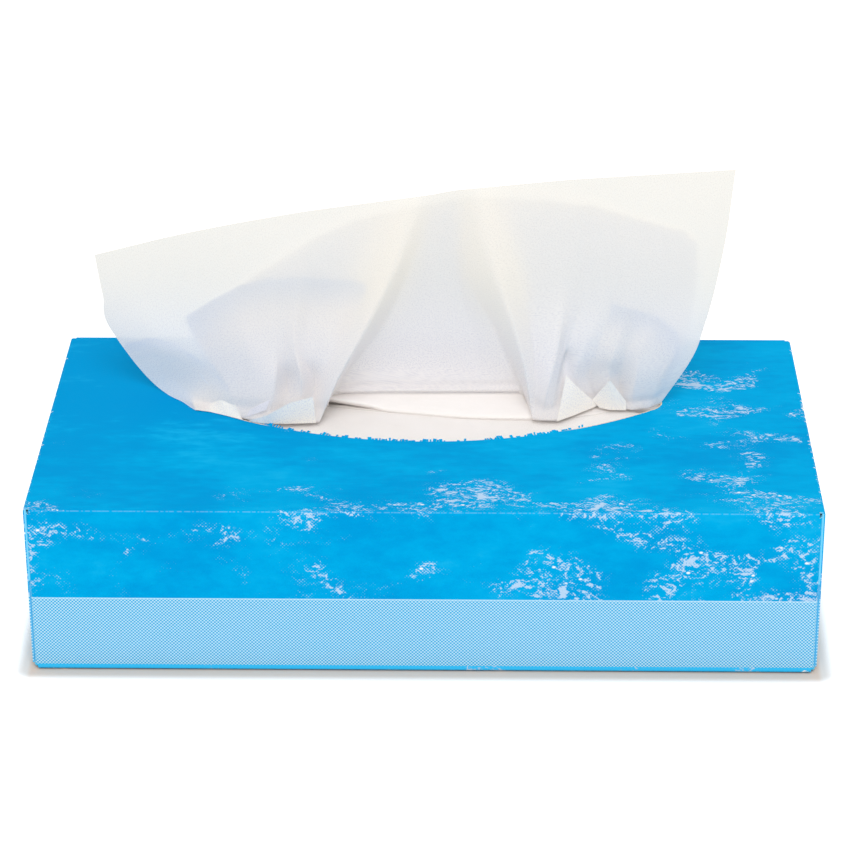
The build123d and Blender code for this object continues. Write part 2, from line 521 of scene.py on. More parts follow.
# %% Rim of the mouth
TORN_RIM = ink(252, 220, 172)
MOUTH_SETBACK = 13.5
MOUTH_HALF_LENGTH = 75.5
MOUTH_HALF_DEPTH = 28.0
TIP_RADIUS = 6.5
MOUTH_RADIUS = (MOUTH_HALF_LENGTH**2 + MOUTH_HALF_DEPTH**2) / (2 * MOUTH_HALF_DEPTH)
ARC_OFFSET = MOUTH_RADIUS - MOUTH_HALF_DEPTH
TIP_MIDDLE = math.sqrt((MOUTH_RADIUS - TIP_RADIUS) ** 2 - ARC_OFFSET**2)
NIB_SPAN = (-50.0, 48.0)


def torn_rim(b, colour):
    reach_front = b.x.diagonal(b.y - (MOUTH_SETBACK + ARC_OFFSET))
    reach_back = b.x.diagonal(b.y - (MOUTH_SETBACK - ARC_OFFSET))
    from_arcs = reach_front.larger(reach_back) - MOUTH_RADIUS
    tip_x = abs(b.x) - TIP_MIDDLE
    from_tip = tip_x.diagonal(b.y - MOUTH_SETBACK) - TIP_RADIUS
    at_tip = tip_x.ramp(2.9, 3.1)
    from_rim = from_arcs * (1 - at_tip) + from_tip * at_tip
    ragged = from_rim - b.noise(b.here, 0.7, 2.0) * 0.5
    on_lid = b.z.ramp(LID - 0.3, LID - 0.2)
    rim = (1 - ragged.ramp(-0.05, 0.08)) * on_lid * from_rim.ramp(-0.12, -0.06)
    nib_low, nib_high = NIB_SPAN
    past_first = b.x.ramp(nib_low, nib_low + 3.0)
    before_last = 1 - b.x.ramp(nib_high - 8.0, nib_high)
    perforated = past_first * before_last * (1 - b.y.ramp(0.0, 5.0))
    return b.mix(rim * (1 - perforated), colour, TORN_RIM)


print("mouth of two arcs of", round(MOUTH_RADIUS, 1), "mm radius")

# %% [markdown]
# ## The whole board
#
# The layers go on in the printer's order: ground, glints, band, then what handling did to them. Inside
# and on the cut edges there is only pulp. A slow bump lets the large panels sag a little, and a fine
# one gives the board its tooth.

# %% Printed board
# Painted light: the seam's blue is lighter than the ground, to offset the shade in the corner slot.
LIT_SEAM_BLUE = ink(120, 212, 248)
RAW_BOARD = ink(222, 214, 200)
CUT_EDGE = ink(238, 206, 160)
SAG_HEIGHT = 0.9 * MM
TOOTH_HEIGHT = 0.03 * MM


def printed_board():
    b = Board("printed board")
    printed, seam = printed_side(b)
    wave = screen_wave(b)
    colour, fine = ground_tone(b)
    colour, glint_mask = glints(b, colour, wave)
    colour = foot_band(b, colour, wave, glint_mask)
    # The seam at each upright corner gets a lighter blue as painted light against the shade in its slot.
    colour = b.mix(seam, colour, LIT_SEAM_BLUE)
    colour, worn = fold_wear(b, colour)
    colour = torn_rim(b, colour)
    pulp = b.noise(b.here, 0.5, 4.0, 0.7)
    bare = b.mix(pulp.ramp(0.3, 0.7), RAW_BOARD, CUT_EDGE)
    colour = b.mix(printed, bare, colour)
    surface = b.bump(b.noise(b.here, 45.0, 1.0), 0.35, SAG_HEIGHT)
    surface = b.bump(b.noise(b.here, 0.35, 2.0) + worn * 0.6, 0.25, TOOTH_HEIGHT, surface)
    sockets = {
        "Base Color": colour, "Normal": surface, "Specular IOR Level": 0.006, "IOR": 1.45,
        "Roughness": 0.44 + fine * 0.10 + worn * 0.25 + (1 - printed) * 0.3,
    }
    return b.output(b.node("ShaderNodeBsdfPrincipled", sockets=sockets))


board_finish = printed_board()
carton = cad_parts["carton"]
carton.data.materials.clear()
carton.data.materials.append(board_finish)
print("carton printed:", len(carton.data.polygons), "faces")

# %% [markdown]
# ## Torn perforation
#
# The mouth was closed by a panel held on by a line of cuts. Tearing it out leaves small uneven nibs of
# board along the front edge. They repeat along a curve, so Geometry Nodes plants them: the curve is
# read as evenly spaced points, each point that wins a fixed lottery gets a small block, and each block
# gets its own size and turn.

# %% Tree that plants nibs
NIB_INPUTS = {
    "Count": 100, "Kept": 0.74, "Width": 1.3 * MM, "Reach": 1.2 * MM, "Height": 0.42 * MM, "Seed": 11,
}
NIB_SHARE = (0.35, 1.0)
NIB_TILT = (0.0, 0.5)
NIB_TURN = (-0.5, 0.5)
NIB_BLOCK = (1.0, 1.4, 1.0)
NIB_ROOT = (0.0, 0.3, -0.5)


def nib_group():
    group = bpy.data.node_groups.new("torn nibs", "GeometryNodeTree")
    kinds = {int: "NodeSocketInt", float: "NodeSocketFloat"}
    group.interface.new_socket("Edge", in_out="INPUT", socket_type="NodeSocketGeometry")
    for name, value in NIB_INPUTS.items():
        group.interface.new_socket(name, in_out="INPUT", socket_type=kinds[type(value)])
    group.interface.new_socket("Finish", in_out="INPUT", socket_type="NodeSocketMaterial")
    group.interface.new_socket("Nibs", in_out="OUTPUT", socket_type="NodeSocketGeometry")
    inputs = group.nodes.new("NodeGroupInput").outputs

    def node(kind, settings=None, **sockets):
        """A node; a socket named _0, _1 and so on is taken by its number."""
        made = group.nodes.new(kind)
        for key, value in (settings or {}).items():
            setattr(made, key, value)
        for key, value in sockets.items():
            socket = made.inputs[int(key[1:])] if key[0] == "_" else made.inputs[key]
            if isinstance(value, bpy.types.NodeSocket):
                group.links.new(value, socket)
            else:
                socket.default_value = value
        return made

    def lot(low, high, salt):
        seed = node("ShaderNodeMath", {"operation": "ADD"}, _0=inputs["Seed"], _1=float(salt))
        return node("FunctionNodeRandomValue", _2=low, _3=high, Seed=seed.outputs[0]).outputs[1]

    def times(first, second):
        return node("ShaderNodeMath", {"operation": "MULTIPLY"}, _0=first, _1=second).outputs[0]

    curve = node("GeometryNodeMeshToCurve", Mesh=inputs["Edge"]).outputs[0]
    points = node("GeometryNodeCurveToPoints", Curve=curve, Count=inputs["Count"])
    along = node("FunctionNodeAlignRotationToVector", {"axis": "X"}, Vector=points.outputs["Tangent"])
    twist = node("ShaderNodeCombineXYZ", X=lot(*NIB_TILT, 5), Z=lot(*NIB_TURN, 1)).outputs[0]
    local = {"rotation_space": "LOCAL"}
    turned = node("FunctionNodeRotateRotation", local, Rotation=along.outputs[0], _1=twist)
    size = node(
        "ShaderNodeCombineXYZ",
        X=times(inputs["Width"], lot(*NIB_SHARE, 2)),
        Y=times(inputs["Reach"], lot(*NIB_SHARE, 3)),
        Z=inputs["Height"],
    ).outputs[0]
    less = {"operation": "LESS_THAN"}
    win = node("FunctionNodeCompare", less, _0=lot(0.0, 1.0, 4), _1=inputs["Kept"])
    block = node("GeometryNodeMeshCube", Size=NIB_BLOCK).outputs[0]
    rooted = node("GeometryNodeTransform", Geometry=block, Translation=NIB_ROOT).outputs[0]
    planted = node(
        "GeometryNodeInstanceOnPoints", Points=points.outputs[0], Selection=win.outputs[0],
        Instance=rooted, Rotation=turned.outputs[0], Scale=size,
    ).outputs[0]
    real = node("GeometryNodeRealizeInstances", Geometry=planted).outputs[0]
    done = node("GeometryNodeSetMaterial", Geometry=real, Material=inputs["Finish"]).outputs[0]
    out = group.nodes.new("NodeGroupOutput")
    group.links.new(done, out.inputs[0])
    return group


print("nib inputs:", ", ".join(NIB_INPUTS))

# %% Nibs along the mouth
EDGE_POINTS = 60
edge_x = np.linspace(*NIB_SPAN, EDGE_POINTS)
edge_y = MOUTH_SETBACK + ARC_OFFSET - np.sqrt(MOUTH_RADIUS**2 - edge_x**2)
edge_places = np.stack([edge_x, edge_y, np.full(EDGE_POINTS, LID)], -1)
edge_steps = [(i, i + 1) for i in range(EDGE_POINTS - 1)]
edge = mesh_object("mouth edge", edge_places, [], [], edge_steps)
planter = edge.modifiers.new("torn nibs", "NODES")
planter.node_group = nib_group()
nib_values = {**NIB_INPUTS, "Finish": board_finish}
for item in planter.node_group.interface.items_tree:
    if item.in_out == "INPUT" and item.name in nib_values:
        planter[item.identifier] = nib_values[item.name]
graph = bpy.context.evaluated_depsgraph_get()
nib_mesh = bpy.data.meshes.new_from_object(edge.evaluated_get(graph))
nibs = bpy.data.objects.new("perforation_nibs", nib_mesh)
scene.collection.objects.link(nibs)
bpy.data.objects.remove(edge)
print("nibs:", len(nib_mesh.polygons) // 6)

# %% [markdown]
# ## Glue between the end flaps
#
# On a real carton the outer end flap is pressed onto the flaps under it, so no gap is left at the
# corners. The solid keeps every flap flat, which leaves a slot as wide as the board above the shorter
# inner flap. A thin bead of glue in the print's colour closes it at each upright corner. Four plain
# blocks are enough, because only their edge shows.

# %% Glue beads
BOARD_THICKNESS = 0.45
BEAD_DEPTH = 1.2
BEAD_LOW = 29.0
BEAD_RELIEF = 0.95
BEAD_TOP_GAP = 0.25
BEAD_LAYERS = (2.1, 0.9)
BLOCK_FACES = [(0, 1, 3, 2), (4, 6, 7, 5), (0, 4, 5, 1), (2, 3, 7, 6), (0, 2, 6, 4), (1, 5, 7, 3)]

bead_x = [HALF_LENGTH - depth * BOARD_THICKNESS for depth in BEAD_LAYERS]
bead_y = (HALF_DEPTH - BEAD_RELIEF - BEAD_DEPTH, HALF_DEPTH - BEAD_RELIEF)
bead_z = (BEAD_LOW, LID - BEAD_TOP_GAP)
bead_points, bead_faces = [], []
for side_x in (-1, 1):
    for side_y in (-1, 1):
        start = len(bead_points)
        span_x = sorted(side_x * x for x in bead_x)
        span_y = sorted(side_y * y for y in bead_y)
        bead_points += [(x, y, z) for x in span_x for y in span_y for z in bead_z]
        bead_faces += [tuple(start + corner for corner in face) for face in BLOCK_FACES]
beads = mesh_object("glue_beads", bead_points, bead_faces, [board_finish])
print("glue beads:", len(bead_faces) // len(BLOCK_FACES))

# %% [markdown]
# ## Tissue paper
#
# Facial tissue is soft creped paper. About half of the light that meets it bounces back and half goes
# through, which is why the blue lid glows through the sheet and a second layer behind it shows as a
# grey shape. A thick mesh with light scattered inside it could do this, but on a single surface it is
# quicker and cleaner: a diffuse and a translucent shader share the light, and thin spots between the
# fibres let some straight through. The crepe is bump that follows the sheet's own UV map. Near the lid
# the colours change with height: painted shade greys the paper there and brings out its fibre speckle.
# A turned-over corner has its painted shade darkest along its own edge instead, so there the colours
# change with the distance from that edge.

# %% Tissue finish
LIGHT_THROUGH = (0.55, 0.42)
LOW_PAPER = (66.0, 98.0)
PINHOLES = (0.025, 0.09)
GRAIN_AND_SHADE = (0.82, 0.80, 0.875, 1.0)
GRAIN_AND_SHADE_SHARES = (0.05, 0.70)
CREPE_STRETCH = (0.35, 1.0, 1.0)
CREPE_HEIGHT = 0.10 * MM
APART = "apart"


def tissue_paper(name, high, low, inset=None, through_shares=LIGHT_THROUGH, apart=None):
    """Thin paper, coloured high near the free edge and low near the lid.

    A colouring is three colours: of the face, of its fibres, and of the light that comes through. With an
    inset in millimetres, the paper is coloured high along its own edge and low from that far inside. With
    apart, it is coloured so where the sheet's attribute of that name is 1.
    """
    f = Finish(name)
    sheet_uv = f.node("ShaderNodeTexCoord", out="UV")
    height = f.split(f.place())[2]
    lowness = 1 - height.ramp(*LOW_PAPER) if inset is None else f.split(sheet_uv)[1].ramp(0.0, inset)
    crepe = f.noise(f.scaled(sheet_uv, CREPE_STRETCH), 0.45, 3.0, 0.6)
    fibres = f.noise(sheet_uv, 0.55, 3.0, 0.7)
    grain = f.noise(sheet_uv, 0.38, 2.0, 0.6).ramp(0.46, 0.64)
    surface = f.bump(crepe + fibres * 0.5, 0.10, CREPE_HEIGHT)
    on_face = fibres.ramp(0.35, 0.65)

    def face_colour(colouring):
        return f.mix(on_face, colouring[1], colouring[0])

    def light_through(colouring):
        sockets = {"Color": colouring[2], "Normal": surface}
        return f.node("ShaderNodeBsdfTranslucent", sockets=sockets)

    colour = f.mix(lowness, face_colour(high), face_colour(low))
    back = f.blend(lowness, light_through(high), light_through(low))
    if apart is not None:
        clear_of_it = f.node("ShaderNodeAttribute", {"attribute_name": APART}, out="Fac")
        colour = f.mix(clear_of_it, colour, face_colour(apart))
        back = f.blend(clear_of_it, back, light_through(apart))
    # Painted shade near the lid: low on the sheet the grey fibre speckle is mixed in more strongly.
    grain_least, low_shade_grain = GRAIN_AND_SHADE_SHARES
    colour = f.mix(grain * (grain_least + lowness * low_shade_grain), colour, GRAIN_AND_SHADE)
    face = {"Base Color": colour, "Roughness": 0.95, "Normal": surface, "Specular IOR Level": 0.05}
    front = f.node("ShaderNodeBsdfPrincipled", sockets=face)
    share_high, share_low = through_shares
    paper = f.blend(share_high + lowness * (share_low - share_high), front, back)
    hole_least, hole_grain = PINHOLES
    clear = f.node("ShaderNodeBsdfTransparent", sockets={"Color": (1, 1, 1, 1)})
    return f.output(f.blend(hole_least + grain * hole_grain, paper, clear))


print("tissue lets through", LIGHT_THROUGH, "of the light, high and low")

# %% [markdown]
# ## Kinds of tissue
#
# The same paper looks different from place to place. Standing alone it is a warm cream. A second
# layer close behind takes its light away, so that layer gets a cool and dull colour as painted shade,
# and white again where it stands clear of the first. Folded edges get a bluer painted shade still.
# Pinched paper is several layers thick, so it hardly lets light through. Paper on the pile has a
# hundred layers under it and lets none through: it has a plain white finish with the fine lines of
# folded edges.

# %% Kinds of tissue
CREAM = ((0.975, 0.930, 0.840, 1), (0.995, 0.955, 0.880, 1), (0.990, 0.950, 0.880, 1))
WHITE = ((0.988, 0.950, 0.920, 1), (0.996, 0.966, 0.945, 1), (0.996, 0.966, 0.940, 1))
# Painted shade: the second layer's cool and dull colourings, and the bluer colouring of folded edges.
COOL_SHADE = ((0.795, 0.812, 0.920, 1), (0.830, 0.848, 0.950, 1), (0.880, 0.898, 0.975, 1))
DULL_SHADE = ((0.905, 0.885, 0.925, 1), (0.930, 0.912, 0.945, 1), (0.950, 0.938, 0.968, 1))
PALE = ((0.930, 0.905, 0.905, 1), (0.950, 0.930, 0.930, 1), (0.960, 0.940, 0.940, 1))
FOLDED_SHADE = ((0.66, 0.73, 0.89, 1), (0.71, 0.78, 0.93, 1), (0.77, 0.84, 0.97, 1))
CLEAR = ((0.985, 0.980, 0.985, 1), (0.990, 0.985, 0.990, 1), (0.995, 0.990, 0.995, 1))
LAID_FACE = (0.885, 0.845, 0.815, 1.0)
LAID_FIBRE = (0.910, 0.870, 0.845, 1.0)
LAID_HEIGHT = 0.15 * MM
PINCHED_THROUGH = (0.12, 0.12)
DOUBLE_THROUGH = (0.50, 0.14)
CORNER_FADE = 13.0
RIM_FADE = 5.4


def laid_paper():
    f = Finish("tissue on the pile")
    layered = f.noise(f.place((0.05, 0.05, 1.0)), 0.35, 2.0)
    fibres = f.noise(f.place(), 0.8, 4.0, 0.7)
    colour = f.mix((fibres * 0.5 + layered * 0.5).ramp(0.3, 0.7), LAID_FACE, LAID_FIBRE)
    surface = f.bump(layered + fibres * 0.4, 0.4, LAID_HEIGHT)
    paper = {"Base Color": colour, "Roughness": 0.95, "Normal": surface, "Specular IOR Level": 0.1}
    return f.output(f.node("ShaderNodeBsdfPrincipled", sockets=paper))


tissue = tissue_paper("tissue paper", CREAM, WHITE)
shaded_tissue = tissue_paper("shaded tissue paper", COOL_SHADE, DULL_SHADE, apart=WHITE)
corner_tissue = tissue_paper("turned left corner", FOLDED_SHADE, PALE, CORNER_FADE)
right_corner_tissue = tissue_paper("turned right corner", FOLDED_SHADE, WHITE, CORNER_FADE, DOUBLE_THROUGH)
folded_tissue = tissue_paper("folded tissue edge", FOLDED_SHADE, CLEAR, RIM_FADE)
pinched_tissue = tissue_paper("pinched tissue", CREAM, CREAM, None, PINCHED_THROUGH)
laid_tissue = laid_paper()
print("seven kinds of tissue")

# %% [markdown]
# ## From fold lines to a sheet
#
# A crumpled sheet could be simulated as cloth, but then its creases fall where they like. It is easier
# to draw the way a tailor would: as the lines it folds along. Each line below runs from the free edge
# at the top to the hem at the film, as it is seen from the front, with how far it stands forward of the
# slit. Between lines the paper runs straight, then it is softened: strongly near the free edge, hardly
# at all at the gathered hem. A point that stands forward is moved along the camera's line of sight, so
# the outline stays where the photograph has it.

# %% Fold lines to rows of points
SLIT = MOUTH_SETBACK
SOFT_FALL = 2.2


def eased(share):
    """A share from 0 to 1 with a slow start and end."""
    share = np.clip(share, 0, 1)
    return share * share * (3 - 2 * share)


def on_sight_line(points):
    """Turns (x, z, forward) on the slit's upright plane into (x, y, z) on the same line of sight."""
    x, z, forward = points[..., 0], points[..., 1], points[..., 2]
    reach = forward / (SLIT - EYE.y)
    return np.stack([x + (EYE.x - x) * reach, SLIT - forward, z + (EYE.z - z) * reach], -1)


def smooth_through(knots, values, wanted):
    """A curve through values at knots, with even tangents, read at wanted."""
    knots = np.asarray(knots, float)
    values = np.asarray(values, float)
    slopes = np.gradient(values, knots, axis=0)
    index = np.clip(np.searchsorted(knots, wanted, side="right") - 1, 0, len(knots) - 2)
    width = (knots[index + 1] - knots[index])[:, None]
    u = ((wanted - knots[index])[:, None]) / width
    h00 = 2 * u**3 - 3 * u**2 + 1
    h10 = u**3 - 2 * u**2 + u
    h01 = -2 * u**3 + 3 * u**2
    h11 = u**3 - u**2
    return (
        h00 * values[index] + h10 * width * slopes[index]
        + h01 * values[index + 1] + h11 * width * slopes[index + 1]
    )


def softened(row, spread):
    """A row of points blurred along itself, with its two ends kept in place."""
    reach = min(max(1, int(round(spread * 3))), len(row) - 2)
    steps = np.arange(-reach, reach + 1)
    kernel = np.exp(-0.5 * (steps / max(spread, 0.1)) ** 2)
    kernel /= kernel.sum()
    before = 2 * row[0] - row[reach:0:-1]
    after = 2 * row[-1] - row[-2:-reach - 2:-1]
    padded = np.concatenate([before, row, after])
    return np.stack([np.convolve(padded[:, axis], kernel, "valid") for axis in range(row.shape[1])], -1)


def loft(lines, levels, rows, columns_each, soft_top, soft_hem):
    """Rows of points over a set of fold lines, straight between lines and softened along each row."""
    wanted = np.linspace(0.0, 1.0, rows)
    drawn = np.stack([smooth_through(levels, line, wanted) for line in lines], 1)
    share = np.linspace(0, len(lines) - 1, (len(lines) - 1) * columns_each + 1)
    index = np.minimum(share.astype(int), len(lines) - 2)
    part = (share - index)[None, :, None]
    straight = drawn[:, index] * (1 - part) + drawn[:, index + 1] * part
    out = []
    for t, row in zip(wanted, straight):
        blend = 1 - (1 - t) ** SOFT_FALL
        out.append(softened(row, soft_top * (1 - blend) + soft_hem * blend))
    return np.array(out)


print("slit", SLIT, "mm behind the middle")

# %% [markdown]
# ## From rows to a piece
#
# Rows and columns of points become one mesh of four-sided faces. Its UV map is measured along the
# paper, in millimetres, so the crepe keeps its scale wherever the sheet is gathered. Where a sheet
# leaves the slit downwards, it lies on the pile: out to a fold, and back under itself.

# %% Rows to a piece
FILM_TOP = LID - BOARD_THICKNESS
PILE_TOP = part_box("tissue_stack")[1][2] / MM
SHEET_HALF = 100.0
BULGE_RATE = 6
DROP_RATE = 20


def sheet_object(name, grids, finishes, laid_row, apart=None):
    """A sheet from grids of points in millimetres, each grid with its own finish.

    From laid_row on, the first grid lies on the pile and takes the laid finish. apart says for each of its
    columns how far it stands clear of the sheet in front, from 0 to 1.
    """
    points, quads, uv, finish = [], [], [], []
    start = 0
    for number, grid in enumerate(grids):
        rows, columns = grid.shape[:2]
        order = np.arange(rows * columns).reshape(rows, columns) + start
        corners = [order[:-1, :-1], order[1:, :-1], order[1:, 1:], order[:-1, 1:]]
        quads.append(np.stack(corners, -1).reshape(-1, 4))
        which = np.full((rows - 1, columns - 1), number)
        if number == 0:
            which[laid_row:] = len(grids)
        finish.append(which.ravel())
        across = np.linalg.norm(np.diff(grid, axis=1), axis=2)
        down = np.linalg.norm(np.diff(grid, axis=0), axis=2)
        u = np.concatenate([np.zeros((rows, 1)), np.cumsum(across, 1)], 1)
        v = np.concatenate([np.zeros((1, columns)), np.cumsum(down, 0)], 0)
        uv.append(np.stack([u, v], -1).reshape(-1, 2))
        points.append(grid.reshape(-1, 3))
        start += rows * columns
    points, quads, uv = np.concatenate(points), np.concatenate(quads), np.concatenate(uv)
    sheet = mesh_object(name, points, quads.tolist(), finishes + [laid_tissue])
    mesh = sheet.data
    layer = mesh.uv_layers.new(name="paper")
    loop_points = np.zeros(len(mesh.loops), int)
    mesh.loops.foreach_get("vertex_index", loop_points)
    layer.data.foreach_set("uv", uv[loop_points].ravel())
    mesh.polygons.foreach_set("use_smooth", np.ones(len(mesh.polygons), bool))
    if apart is not None:
        clear_of_it = np.zeros(len(points))
        first_rows = grids[0].shape[0]
        clear_of_it[:first_rows * len(apart)] = np.tile(apart, first_rows)
        mesh.attributes.new(APART, "FLOAT", "POINT").data.foreach_set("value", clear_of_it)
    mesh.polygons.foreach_set("material_index", np.concatenate(finish))
    area = sum(polygon.area for polygon in mesh.polygons)
    print(name, len(quads), "faces,", round(area * 1e4), "square centimetres")
    return sheet


def laid_on_pile(entry, fold_y, height, widening, rows, return_run, return_drop, return_rows, bulge=0.0):
    """Rows that spread from the slit to a fold at fold_y, then return under themselves.

    height is above the pile, widening how early the sheet is at full width, and bulge rounds the fold.
    """
    flat_x = np.linspace(-SHEET_HALF, SHEET_HALF, len(entry))
    out = []
    for w in np.linspace(0, 1, rows + 1)[1:]:
        spread = eased(w * widening)
        x = entry[:, 0] * (1 - spread) + flat_x * spread
        y = entry[:, 1] * (1 - w) + fold_y * w
        z = entry[:, 2] * (1 - spread) + (PILE_TOP + height) * spread
        out.append(np.stack([x, y, z], -1))
    for w in np.linspace(0, 1, return_rows + 1)[1:]:
        y = fold_y + return_run * w - bulge * math.sin(math.pi * min(1, w * BULGE_RATE))
        z = PILE_TOP + height - return_drop * min(1.0, w * DROP_RATE)
        out.append(np.stack([flat_x, np.full_like(flat_x, y), np.full_like(flat_x, z)], -1))
    return np.array(out)


print("pile top at", round(PILE_TOP, 2), "mm, film at", round(FILM_TOP, 2), "mm")

# %% [markdown]
# ## Fold lines of the drawn sheet
#
# The sheet stands in the slit like a shirt front: a recessed middle, a sharp lapel on its left, a
# softer one on its right, and a bunch of small pleats under each lapel where the slit grips it. Each
# row below is one fold line, read at five levels from the free edge to the hem. The hem rests on the
# film or the lid, except under the recessed middle.

# %% Fold lines of the drawn sheet
LEVELS = (0.0, 0.33, 0.65, 0.88, 1.0)
REST = LID + 0.25
FREE_X = (-100, -70, -36, 1, 8, 42, 92)
FREE_Z = (100.8, 108.8, 115.2, 120.5, 122.0, 125.5, 128.9)


def at_top(x, forward=0.0):
    """A point of the free edge, which bows up a little from corner to corner."""
    return (x, float(np.interp(x, FREE_X, FREE_Z)), forward)


def at_rest(x, y):
    """A hem point that rests on the film or the lid at x, y, written as it is seen from the front."""
    forward = SLIT - y
    reach = forward / (SLIT - EYE.y)
    return ((x - EYE.x * reach) / (1 - reach), (REST - EYE.z * reach) / (1 - reach), forward)


left_part = [
    [at_top(-100), (-98.2, 87.6, -1), (-95.6, 75, -4), (-81.6, 55.8, -5), at_rest(-70.7, 5.8)],
    [at_top(-86), (-85, 88, 0.5), (-82, 71, 1), (-75, 56.5, -2), at_rest(-65.1, 4.6)],
]
left_bunch = [
    [at_top(-77), (-75, 86, 1), (-68.5, 69, 4), (-61.5, 57, 8.5), at_rest(-57, 0.8)],
    [at_top(-60), (-58, 90, 3), (-55, 71, 8.5), (-53, 57, 12), at_rest(-52.3, -1.8)],
    [at_top(-48), (-46.5, 93, 4), (-46, 69, 10), (-47, 56, 14.5), at_rest(-48.3, -3.2)],
    [at_top(-43), (-42.5, 93, 4), (-43.6, 67, 9.4), (-43.4, 56, 10.5), at_rest(-43.5, -3.2)],
    [at_top(-36), (-38, 93, 4), (-40.5, 71, 10), (-38.5, 57, 14.5), at_rest(-38.6, -2.9)],
    [at_top(-24), (-33.5, 88, 4), (-37, 68, 9), (-34.8, 57, 10), at_rest(-36.2, -2.7)],
]
left_lapel = [
    [at_top(-13), (-23, 90, 4), (-29, 70, 9.5), (-32, 57, 13), at_rest(-34, -2)],
    [at_top(-2.2, 1), (-9.2, 97.8, 7), (-18.6, 76.5, 13), (-28.3, 57.5, 16), at_rest(-32.4, -2.4)],
]
middle = [
    [at_top(1.5), (-5.6, 97, 0.5), (-15, 76, 0), (-25.8, 61, 0.3), (-29, 55.4, 0.5)],
    [at_top(3.5), (-1, 97, -1), (-5, 77, -2), (-11, 62, -2), (-14, 55.8, 1)],
    [at_top(5.5), (4, 97, -1.5), (4, 77, -2.5), (4, 62, -2.5), (3, 55.9, 1.2)],
    [at_top(8.5, 0.3), (9, 97, -1), (13, 77, -1.5), (17, 62, -1), (18, 56, 1.2)],
    [at_top(11, 0.6), (12.5, 95, 1), (20.5, 77, 1.5), (26.6, 62, 1.5), (29.5, 56, 1)],
]
right_lapel = [
    [at_top(14.6, 2), (20.5, 97, 8), (26.5, 76, 11), (30.2, 60, 12.5), at_rest(32.1, 0)],
]
right_bunch = [
    [at_top(24), (30, 94, 3), (31.5, 77, 5.5), (32.8, 60, 9.5), at_rest(33, -0.2)],
    [at_top(38), (41, 92, 3.5), (39.8, 71.5, 9), (36.8, 56, 12.8), at_rest(34.6, -0.4)],
    [at_top(43), (44.5, 92, 3), (41.3, 70, 6.5), (39.2, 56, 10.5), at_rest(37, -0.5)],
    [at_top(48), (47, 89, 2.5), (43, 72, 5), (41.3, 62.5, 5), at_rest(39.8, -0.5)],
    [at_top(55), (53, 88, 3.5), (48, 70, 6), (46, 58.5, 4.8), at_rest(51.6, 9.8)],
    [at_top(58), (56, 88, 3.5), (51.5, 69, 5), (49.5, 58.5, 2.5), at_rest(52.8, 10.2)],
    [at_top(62), (60, 87, 4), (56.5, 68, 6.8), (55.3, 60.5, 5.6), at_rest(54.6, 8)],
    [at_top(66), (64, 86, 4), (60, 68, 5.4), (58.7, 57, 3.4), at_rest(59.3, 8.2)],
    [at_top(72), (70, 86, 4), (65, 70, 6.8), (63.2, 57, 7.4), at_rest(62.3, 7.2)],
    [at_top(80), (78.5, 92, 2.6), (75, 69, 5.8), (70.5, 58, 6), at_rest(67.5, 8.2)],
]
right_part = [
    [at_top(91.5), (89, 104, 0.5), (84.2, 79, 2.5), (79, 64.3, 2.6), at_rest(71.2, 11.6)],
]
drawn_lines = left_part + left_bunch + left_lapel + middle + right_lapel + right_bunch + right_part
print("drawn sheet:", len(drawn_lines), "fold lines")

# %% [markdown]
# ## The drawn sheet above and below its hem
#
# Above the hem the sheet is lofted over its fold lines, with a small roll just over the hem. Below it
# the paper turns back to the slit. Under the recessed middle it tucks back first, bellies out over the
# film's lip, and then turns down. In the slit it swings to and fro in small gathers, and inside it lies
# folded on the pile.

# %% Standing half
DRAWN_ROWS = 120
LINE_COLUMNS = 9
SOFT_TOP = 3.6
SOFT_HEM = 0.35
HEM_ROLL = 0.7
ROLL_LEVEL = 0.955
ROLL_WIDTH = 0.02

seen = loft(drawn_lines, LEVELS, DRAWN_ROWS, LINE_COLUMNS, SOFT_TOP, SOFT_HEM)
rolled = np.exp(-(((np.linspace(0, 1, DRAWN_ROWS) - ROLL_LEVEL) / ROLL_WIDTH) ** 2))
seen[..., 2] -= HEM_ROLL * rolled[:, None]
standing = on_sight_line(seen)
standing[..., 2] = np.maximum(standing[..., 2], REST)
hem = standing[-1]
print("standing half", standing[..., 2].max().round(1), "mm high")

# %% Under the hem
GATHER_HALF = 61.0
GATHER_FORWARD = 1.5
GATHER_SWING = 0.5
GATHERS = 13
GATHER_DROP = 0.5
SLIT_HALF = 68.0
GAPE_FRONT = 8.5
GAPE_SKEW = 0.17
BELLY_SPAN = (-31.0, 33.0)
BELLY_BLEND = 3.0
RECESS = 4.0
BELLY_RISE = 0.3
BELLY_SPREAD = 5.0
SPREAD_FROM = 18.0
SPREAD_RUN = 12.0
BELLY_LIFT = 1.9
LIFT_FROM = -12.0
LIFT_RUN = 14.0
ROLL_BACK = 0.6
LIFTED_BACK = 2.2
ROLL_DROP = 1.0
TUCK = (0.0, 1.8, -1.4)
UNDER_KNOTS = (0.0, 0.18, 0.55, 0.70, 1.0)
UNDER_ROWS = 20

